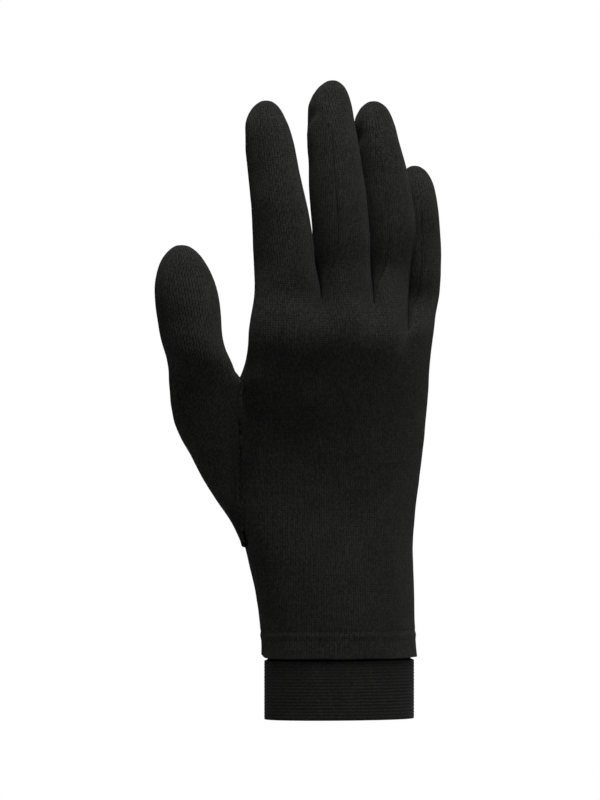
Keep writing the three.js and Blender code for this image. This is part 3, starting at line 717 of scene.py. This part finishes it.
def piece_mesh(name, number):
    faces = quads[piece_numbers == number]
    used = np.unique(faces)
    place = {int(old): new for new, old in enumerate(used)}
    border = rim_edges(faces)
    pulls = pulls_inward(border)
    outer = points[used].copy()
    wall = np.where(outer[:, 2] < hem_top, hem_cloth, cloth)
    inner = outer - directions[used] * wall[:, None]
    gaps = closed_gap + (half_gap - closed_gap) * seam_open
    for corner, pull in pulls.items():
        outer[place[corner]] += pull * gaps[corner]
        inner[place[corner]] += pull * gaps[corner]
    count = len(used)
    own_faces = np.array([[place[int(i)] for i in face] for face in faces])
    all_points = [outer, inner]
    all_faces = own_faces.tolist() + (own_faces[:, ::-1] + count).tolist()
    rows = [{c: place[c] for c in pulls}]
    next_place = 2 * count
    for pull_out, sink in rim_roll[1:]:
        row = {}
        extra = []
        for corner, pull in pulls.items():
            here = outer[place[corner]]
            back = inner[place[corner]]
            extra.append(here + (back - here) * sink - pull * gaps[corner] * pull_out)
            row[corner] = next_place
            next_place += 1
        all_points.append(np.array(extra))
        rows.append(row)
    rows.append({c: place[c] + count for c in pulls})
    for upper, lower in zip(rows, rows[1:]):
        all_faces += [[upper[b], upper[a], lower[a], lower[b]] for a, b in border]
    mesh = bpy.data.meshes.new(name)
    mesh.from_pydata((np.concatenate(all_points) * mm).tolist(), [], all_faces)
    mesh.shade_smooth()
    mesh.set_sharp_from_angle(angle=rim_angle)
    # each piece carries its painted shade as a point attribute, which darkens the knit's colour
    shade_values = np.zeros(len(mesh.vertices))
    shade_values[:2 * count] = np.tile((painted_shade if number > 1 else painted_darkening)[used], 2)
    mesh.attributes.new("painted_shade", "FLOAT", "POINT").data.foreach_set("value", shade_values)
    return mesh, used, faces, np.array(list(pulls))


pieces = {}
piece_nets = {}
for number, name in enumerate(cloth_pieces):
    mesh, used, faces, rim = piece_mesh(name, number)
    piece = bpy.data.objects.new("knit_" + name, mesh)
    scene.collection.objects.link(piece)
    pieces[name] = piece
    piece_nets[name] = (used, faces, rim)
    print(f"{piece.name}: {len(mesh.polygons)} faces")

# %% [markdown]
# ## The elastic cuff
#
# The cuff is a band of elastic with fine ribs round the wrist, tucked up inside the hem. The
# solid gives its oval. A profile is carried round that oval: up the ribbed outside, in under the
# hem, and down the plain inside. The ribs are real ridges, because they show at the band's edge.

# %% Make the ribbed cuff
cuff_height = 23.8
solid_cuff_middle = 12.5
cuff_cloth = 1.6
cuff_tuck = 5.0
cuff_inset = 1.44
rib_pitch = 1.3
rib_height = 0.13
steps_per_rib = 6
points_round = 300
edge_round = 0.5


def cuff_oval():
    """The solid's outer oval halfway up the band, smoothed and evenly spaced, in millimetres."""
    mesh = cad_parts["cuff_band"].data
    found = {tuple(np.round(np.array(v.co) / mm, 3)) for v in mesh.vertices}
    ring = np.array([p for p in found if abs(p[2] - solid_cuff_middle) < 0.01])
    middle = ring.mean(axis=0)
    order = np.argsort(np.arctan2(ring[:, 1] - middle[1], ring[:, 0] - middle[0]))
    ring = ring[order][:, :2]
    smooth = []
    for i in range(len(ring)):
        a, b, c, d = (ring[(i + k) % len(ring)] for k in (-1, 0, 1, 2))
        for t in np.arange(8) / 8:
            smooth.append(0.5 * (2 * b + (c - a) * t + (2 * a - 5 * b + 4 * c - d) * t ** 2
                                 + (3 * b - a - 3 * c + d) * t ** 3))
    smooth = np.array(smooth)
    closed = np.vstack([smooth, smooth[:1]])
    lengths = np.concatenate([[0], np.cumsum(np.linalg.norm(np.diff(closed, axis=0), axis=1))])
    even = np.linspace(0, lengths[-1], points_round, endpoint=False)
    return np.stack([np.interp(even, lengths, closed[:, k]) for k in (0, 1)], axis=1), lengths[-1]


def cuff_profile():
    """Pairs of height and distance behind the oval, once round the band's cut edge."""
    rows = [(0.0, cuff_cloth * 0.5), (0.05, edge_round * 0.6), (0.2, edge_round * 0.2)]
    ribbed = np.arange(0.4, cuff_height - 0.3, rib_pitch / steps_per_rib)
    for height in ribbed:
        rib = rib_height * 0.5 * (1 + math.cos(2 * math.pi * height / rib_pitch))
        rows.append((height, rib_height - rib))
    rows += [(cuff_height - 0.2, 0.35), (cuff_height + 0.05, 1.0), (cuff_height + 0.4, cuff_inset)]
    rows += [(cuff_height + cuff_tuck, cuff_inset), (cuff_height + cuff_tuck, cuff_inset + cuff_cloth)]
    rows += [(cuff_height - 1.5, cuff_inset + cuff_cloth), (cuff_height - 5, cuff_cloth)]
    rows += [(height, cuff_cloth) for height in (15, 10, 5, 1)]
    rows += [(0.2, cuff_cloth - edge_round * 0.2)]
    return rows


def cuff_mesh():
    oval, length = cuff_oval()
    along = np.roll(oval, -1, axis=0) - np.roll(oval, 1, axis=0)
    inward = np.stack([-along[:, 1], along[:, 0]], axis=1)
    inward /= np.linalg.norm(inward, axis=1, keepdims=True)
    rows = cuff_profile()
    rings = []
    for height, behind in rows:
        ring = oval + inward * behind
        rings.append(np.column_stack([ring, np.full(points_round, height)]))
    around = np.arange(points_round)
    onward = (around + 1) % points_round
    faces = []
    for row in range(len(rows)):
        low = row * points_round
        high = (row + 1) % len(rows) * points_round
        faces.append(np.column_stack([low + around, low + onward, high + onward, high + around]))
    mesh = bpy.data.meshes.new("cuff_band")
    mesh.from_pydata((np.concatenate(rings) * mm).tolist(), [], np.concatenate(faces).tolist())
    mesh.shade_smooth()
    around_mm = np.tile(around * length / points_round, len(rows))
    return mesh, length, np.column_stack([around_mm, np.concatenate(rings)[:, 2]])


mesh, cuff_length, cuff_grain = cuff_mesh()
cuff = bpy.data.objects.new("elastic_cuff_band", mesh)
scene.collection.objects.link(cuff)
print(f"cuff: {cuff_length:.0f} mm round, {len(mesh.polygons)} faces")

# %% [markdown]
# ## Laying the knit's grain on the pieces
#
# Jersey has a grain: its columns of stitches, the wales, run up the glove, and its rows, the
# courses, run across. The stitches are drawn by the material, so it needs to know where on the
# cloth each point lies, in millimetres, which is what a UV map is for. A map seen from one side
# would stretch the stitches on the fingers' sides. Instead, each edge of the net says how far the
# cloth goes across and along on it, and the map is the one that comes closest to all of them. An
# edge between long narrow faces counts by their shape, so that dense parts of the net don't bend
# the grain. The method of conjugate gradients finds the map in a few hundred rounds.

# %% Lay out the grain
finger_roots_up = 168
finger_turns = [
    {"across": -21.3, "turn": -6.0},
    {"across": 1.9, "turn": -3.3},
    {"across": 19.4, "turn": -4.1},
    {"across": 31.7, "turn": -1.3},
]
thumb_turn = -11.0
grain_rounds = 700
lean_length = 10
level_from = 0.75


def wale_ways(name, places):
    """The direction of the wales at each place: upright on the palm, leaning on each finger."""
    lean = np.zeros(len(places))
    if name == "thumb":
        lean[:] = math.tan(math.radians(thumb_turn))
    else:
        above = np.maximum(places[:, 2] - finger_roots_up, 0)
        slopes = np.array([math.tan(math.radians(finger["turn"])) for finger in finger_turns])
        starts = np.array([finger["across"] for finger in finger_turns])
        axes = starts + above[:, None] * slopes
        nearest = np.argmin(np.abs(axes - places[:, :1]), axis=1)
        lean = slopes[nearest] * ease(above / lean_length)
    return np.column_stack([lean, np.zeros(len(places)), np.ones(len(places))])


def lay_out(steps, weights, edges, start):
    """Values whose differences along the edges come closest to the steps, by conjugate gradients."""
    low, high = edges.T

    def gathered(flow):
        return np.bincount(high, flow, len(start)) - np.bincount(low, flow, len(start))

    held = np.bincount(high, weights, len(start)) + np.bincount(low, weights, len(start))
    values = start.copy()
    rest = gathered(weights * (steps - (values[high] - values[low])))
    way = rest / held
    size = rest @ way
    for _ in range(grain_rounds):
        push = gathered(weights * (way[high] - way[low]))
        gain = size / (way @ push)
        values += gain * way
        rest -= gain * push
        new_size = rest @ (rest / held)
        way = rest / held + way * (new_size / size)
        size = new_size
    return values


def piece_grain(name, places, ways, areas, edges):
    """Across and along on the cloth, in millimetres, at each point of a piece's outer side."""
    low, high = edges.T
    moves = places[high] - places[low]
    facing = ways[low] + ways[high]
    facing /= np.linalg.norm(facing, axis=1, keepdims=True)
    wales = wale_ways(name, (places[low] + places[high]) / 2)
    aside = np.cross(wales, facing)
    if name.startswith("fourchette"):
        aside *= np.where(facing[:, 0] > 0, 1, -1)[:, None]
        level = np.array([0.0, 1.0, 0.0]) - facing * facing[:, 1:2]
        aside = np.where(facing[:, 2:] > level_from, level, aside)
    else:
        aside *= np.where(facing[:, 1] < 0, 1, -1)[:, None]
    along = wales - facing * (wales * facing).sum(axis=1, keepdims=True)
    start = places[:, 1] if name.startswith("fourchette") else places[:, 0]
    width_to_length = (areas[low] + areas[high]) / 2 / (moves * moves).sum(axis=1)
    found = []
    for way, first in ((aside, start), (along, places[:, 2])):
        lengths = np.linalg.norm(way, axis=1)
        steps = (moves * way).sum(axis=1) / np.maximum(lengths, 0.05)
        found.append(lay_out(steps, (lengths + 0.02) * width_to_length, edges, first))
    return np.column_stack(found)


def set_grain(mesh, grain):
    corners = np.zeros(len(mesh.loops), int)
    mesh.loops.foreach_get("vertex_index", corners)
    mesh.uv_layers.new(name="grain").data.foreach_set("uv", grain[corners].ravel())


for name, piece in pieces.items():
    used, faces, rim = piece_nets[name]
    place = np.zeros(len(points), int)
    place[used] = np.arange(len(used))
    own_areas = point_areas(points[used], place[faces])
    grain = piece_grain(name, points[used], directions[used], own_areas, net_edges(place[faces]))
    rows = [grain, grain] + [grain[place[rim]]] * (len(rim_roll) - 1)
    set_grain(piece.data, np.concatenate(rows))
    print(f"{name}: {np.ptp(grain[:, 0]):.0f} by {np.ptp(grain[:, 1]):.0f} mm of cloth")
set_grain(cuff.data, cuff_grain)

# %% [markdown]
# ## The knitted cloth's finish
#
# Fine black jersey is a field of small V-shaped stitches. It drinks light, yet its fibres stand
# up as a short fuzz that catches light at a slant. So the material has a very dark, slightly
# mixed colour, a high roughness, some sheen, and a bump made of the stitches themselves. The
# colour goes from a darkest to a lightest black. The shares say how much each texture lightens it
# on that way. Two of them are painted shade: the stitches' height makes the loops lighter and the
# grooves between them darker, and a number on each point darkens the crotches, hollows and tuck.

# %% Make the knit material
wale_width = 1.0
course_height = 0.72
fuzz_size = 0.22
patch_size = 14
knit_shares = {
    "base": -1.37,
    "fuzz": 1.5,
    "shades": 0.5,
    "stitches_and_groove_shade": 1.15,
    "patches": 0.5,
    "painted_darkening": -0.3,
}
knit_dark = (0.0020, 0.0020, 0.0019)
knit_light = (0.0340, 0.0335, 0.0318)
fuzz_on_stitches = 1.2


def new_material(name):
    material = bpy.data.materials.new(name)
    material.use_nodes = True
    nodes = material.node_tree.nodes
    return material, nodes, material.node_tree.links, nodes["Principled BSDF"]


def calculator(nodes, links):
    """A short way to write a sum with shader nodes: give the operation and its inputs."""
    def calculate(operation, *inputs):
        node = nodes.new("ShaderNodeMath")
        node.operation = operation
        for socket, value in zip(node.inputs, inputs):
            if isinstance(value, (int, float)):
                socket.default_value = value
            else:
                links.new(value, socket)
        return node.outputs[0]
    return calculate


def stitch_shades(nodes, links):
    """A random shade for each stitch, as the mixed fibres of the yarn give it."""
    calculate = calculator(nodes, links)
    grain = nodes.new("ShaderNodeUVMap")
    grain.uv_map = "grain"
    split = nodes.new("ShaderNodeSeparateXYZ")
    links.new(grain.outputs[0], split.inputs[0])
    cell = nodes.new("ShaderNodeCombineXYZ")
    links.new(calculate("FLOOR", calculate("DIVIDE", split.outputs[0], wale_width / 2)), cell.inputs[0])
    links.new(calculate("FLOOR", calculate("DIVIDE", split.outputs[1], course_height)), cell.inputs[1])
    shade = nodes.new("ShaderNodeTexWhiteNoise")
    links.new(cell.outputs[0], shade.inputs["Vector"])
    return shade.outputs["Value"]


def stitch_height(nodes, links):
    """A field of V-shaped stitches, from the grain's millimetres."""
    calculate = calculator(nodes, links)
    grain = nodes.new("ShaderNodeUVMap")
    grain.uv_map = "grain"
    split = nodes.new("ShaderNodeSeparateXYZ")
    links.new(grain.outputs[0], split.inputs[0])
    wales = calculate("DIVIDE", split.outputs[0], wale_width)
    aside = calculate("ABSOLUTE", calculate("SUBTRACT", calculate("FRACT", wales), 0.5))
    legs = calculate("SINE", calculate("MULTIPLY", aside, 2 * math.pi))
    courses = calculate("DIVIDE", split.outputs[1], course_height)
    slant = calculate("MULTIPLY", calculate("ADD", courses, aside), 2 * math.pi)
    loops = calculate("MULTIPLY_ADD", calculate("COSINE", slant), 0.25, 0.75)
    gap = calculate("POWER", calculate("MULTIPLY", aside, 2), 4)
    return calculate("SUBTRACT", calculate("MULTIPLY", legs, loops), gap)


def cloth_noise(nodes, links, size, detail):
    """Soft noise whose patches are about size millimetres across."""
    place = nodes.new("ShaderNodeTexCoord")
    texture = nodes.new("ShaderNodeTexNoise")
    texture.inputs["Scale"].default_value = 1 / (size * mm)
    texture.inputs["Detail"].default_value = detail
    links.new(place.outputs["Object"], texture.inputs["Vector"])
    return texture.outputs["Fac"]


def mixed(calculate, base, *parts):
    """The base number plus each texture times its share."""
    total = base
    for texture, share in parts:
        total = calculate("MULTIPLY_ADD", texture, share, total)
    return total


def colour_ramp(nodes, links, blend, dark, light):
    ramp = nodes.new("ShaderNodeValToRGB")
    ramp.color_ramp.elements[0].color = (*dark, 1)
    ramp.color_ramp.elements[1].color = (*light, 1)
    links.new(blend, ramp.inputs[0])
    return ramp.outputs[0]


def bumped(nodes, links, height, strength, depth):
    bump = nodes.new("ShaderNodeBump")
    bump.inputs["Strength"].default_value = strength
    bump.inputs["Distance"].default_value = depth * mm
    links.new(height, bump.inputs["Height"])
    return bump.outputs[0]


def knit_material():
    material, nodes, links, shader = new_material("black_jersey")
    calculate = calculator(nodes, links)
    stitches_and_groove_shade = stitch_height(nodes, links)
    fuzz = cloth_noise(nodes, links, fuzz_size, 2)
    patches = cloth_noise(nodes, links, patch_size, 3)
    # painted shade: this attribute darkens the knit at the crotches, behind the knuckles, at the roots
    # and in the tuck
    shade_values = nodes.new("ShaderNodeAttribute")
    shade_values.attribute_name = "painted_shade"
    blend = mixed(
        calculate,
        knit_shares["base"],
        (fuzz, knit_shares["fuzz"]),
        (stitch_shades(nodes, links), knit_shares["shades"]),
        # the stitches' height lightens the loops and darkens the grooves between them: painted shade
        (stitches_and_groove_shade, knit_shares["stitches_and_groove_shade"]),
        (patches, knit_shares["patches"]),
        (shade_values.outputs["Fac"], knit_shares["painted_darkening"]),
    )
    colour = colour_ramp(nodes, links, blend, knit_dark, knit_light)
    links.new(colour, shader.inputs["Base Color"])
    links.new(calculate("MULTIPLY_ADD", fuzz, 0.15, 0.82), shader.inputs["Roughness"])
    shader.inputs["Specular IOR Level"].default_value = 0.1
    shader.inputs["Sheen Weight"].default_value = 0.025
    shader.inputs["Sheen Roughness"].default_value = 0.4
    height = calculate("MULTIPLY_ADD", fuzz, fuzz_on_stitches, stitches_and_groove_shade)
    links.new(bumped(nodes, links, height, 0.8, 0.14), shader.inputs["Normal"])
    return material


jersey = knit_material()
for piece in pieces.values():
    piece.data.materials.append(jersey)

# %% [markdown]
# ## The elastic's finish
#
# The band's ribs are already there as shape. Between them the elastic is covered with tight
# small loops, so its material has fine columns, a little shorter than the jersey's. A painted
# shade makes the valleys between ribs a touch darker and their crests a touch lighter.

# %% Make the elastic material
loop_width = 0.6
loop_share = 0.5
elastic_fuzz_size = 0.45
elastic_patch_size = 8
elastic_shares = {"base": -0.77, "fuzz": 2.0, "rib_valley_shade": 0.12, "patches": 0.3}
elastic_dark = (0.0032, 0.0032, 0.0031)
elastic_light = (0.0270, 0.0268, 0.0260)


def elastic_material():
    material, nodes, links, shader = new_material("black_elastic")
    calculate = calculator(nodes, links)
    grain = nodes.new("ShaderNodeUVMap")
    grain.uv_map = "grain"
    split = nodes.new("ShaderNodeSeparateXYZ")
    links.new(grain.outputs[0], split.inputs[0])
    columns = calculate("DIVIDE", split.outputs[0], loop_width)
    loops = calculate("SINE", calculate("MULTIPLY", columns, 2 * math.pi))
    # painted shade: darker in the valleys between the ribs, lighter on their crests
    rib_valley_shade = calculate("COSINE", calculate("MULTIPLY", split.outputs[1], 2 * math.pi / rib_pitch))
    fuzz = cloth_noise(nodes, links, elastic_fuzz_size, 4)
    patches = cloth_noise(nodes, links, elastic_patch_size, 2)
    blend = mixed(
        calculate,
        elastic_shares["base"],
        (fuzz, elastic_shares["fuzz"]),
        (rib_valley_shade, elastic_shares["rib_valley_shade"]),
        (patches, elastic_shares["patches"]),
    )
    colour = colour_ramp(nodes, links, blend, elastic_dark, elastic_light)
    links.new(colour, shader.inputs["Base Color"])
    links.new(calculate("MULTIPLY_ADD", fuzz, 0.15, 0.8), shader.inputs["Roughness"])
    shader.inputs["Specular IOR Level"].default_value = 0.1
    shader.inputs["Sheen Weight"].default_value = 0.025
    shader.inputs["Sheen Roughness"].default_value = 0.4
    height = calculate("MULTIPLY_ADD", loops, loop_share, fuzz)
    links.new(bumped(nodes, links, height, 0.6, 0.1), shader.inputs["Normal"])
    return material


cuff.data.materials.append(elastic_material())

# %% [markdown]
# ## Floor, background and light
#
# The liner is held up at its wrist, so the pale floor lies lower than the picture's edge. The
# background is white, but only where it is seen: for the light on the cloth, the room is dim.
# One large soft light hangs high above, a little in front, and draws the fingertips and the
# knuckles. Two weaker ones open up the sides, the right one more, and one lights the palm.

# %% Set the stage
floor_up = -0.16
floor_reach = 1.2


def floor_mesh():
    corners = [(x, y, floor_up) for x, y in ((-1, -1), (1, -1), (1, 1), (-1, 1))]
    mesh = bpy.data.meshes.new("floor")
    mesh.from_pydata([(x * floor_reach, y * floor_reach, z) for x, y, z in corners], [], [(0, 1, 2, 3)])
    return mesh


floor = bpy.data.objects.new("floor", floor_mesh())
scene.collection.objects.link(floor)
pale, _, _, pale_shader = new_material("pale_floor")
pale_shader.inputs["Base Color"].default_value = (0.6, 0.6, 0.6, 1)
pale_shader.inputs["Roughness"].default_value = 0.9
floor.data.materials.append(pale)
floor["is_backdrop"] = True


light_rows = [
    {"name": "top_light", "place": (0.15, -0.3, 1.15), "target_up": 0.15, "size": 0.6, "power": 18},
    {"name": "right_light", "place": (1.4, -0.5, 0.8), "target_up": 0.12, "size": 0.8, "power": 2.6},
    {"name": "back_light", "place": (0.2, 1.5, 0.7), "target_up": 0.12, "size": 0.8, "power": 3},
    {"name": "left_light", "place": (-1.4, -0.6, 0.9), "target_up": 0.12, "size": 0.8, "power": 1.0},
]
for row in light_rows:
    light = bpy.data.lights.new(row["name"], "AREA")
    light.size = row["size"]
    light.energy = row["power"]
    lamp = bpy.data.objects.new(row["name"], light)
    lamp.location = row["place"]
    aim = Vector((0, 0, row["target_up"])) - Vector(row["place"])
    lamp.rotation_euler = aim.to_track_quat("-Z", "Y").to_euler()
    scene.collection.objects.link(lamp)

seen_brightness = 1.0
room_brightness = 0.05
world = bpy.data.worlds.new("studio")
world.use_nodes = True
world_nodes = world.node_tree.nodes
world_links = world.node_tree.links
rays = world_nodes.new("ShaderNodeLightPath")
brightness = world_nodes.new("ShaderNodeMapRange")
brightness.inputs["To Min"].default_value = room_brightness
brightness.inputs["To Max"].default_value = seen_brightness
world_links.new(rays.outputs["Is Camera Ray"], brightness.inputs["Value"])
world_nodes["Background"].inputs["Color"].default_value = (1, 1, 1, 1)
world_links.new(brightness.outputs["Result"], world_nodes["Background"].inputs["Strength"])
scene.world = world
scene.view_settings.view_transform = "Standard"
print(f"{len(light_rows)} lights, floor {-floor_up} m below the cuff")

# %% [markdown]
# ## Tying everything to the frame
#
# Each dressed piece takes the place of its solid and moves with the frame's only body. The two
# boxes printed at the end give the size before and after dressing.

# %% Ride, replace and finish
for name, piece in pieces.items():
    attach(piece, "root")
    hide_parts(name)
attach(cuff, "root")
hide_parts("cuff_band")


def plain_box(box):
    return [[round(float(value), 6) for value in corner] for corner in box]


size = {"cad": plain_box(cad_box), "visual": plain_box(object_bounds())}
print(size)
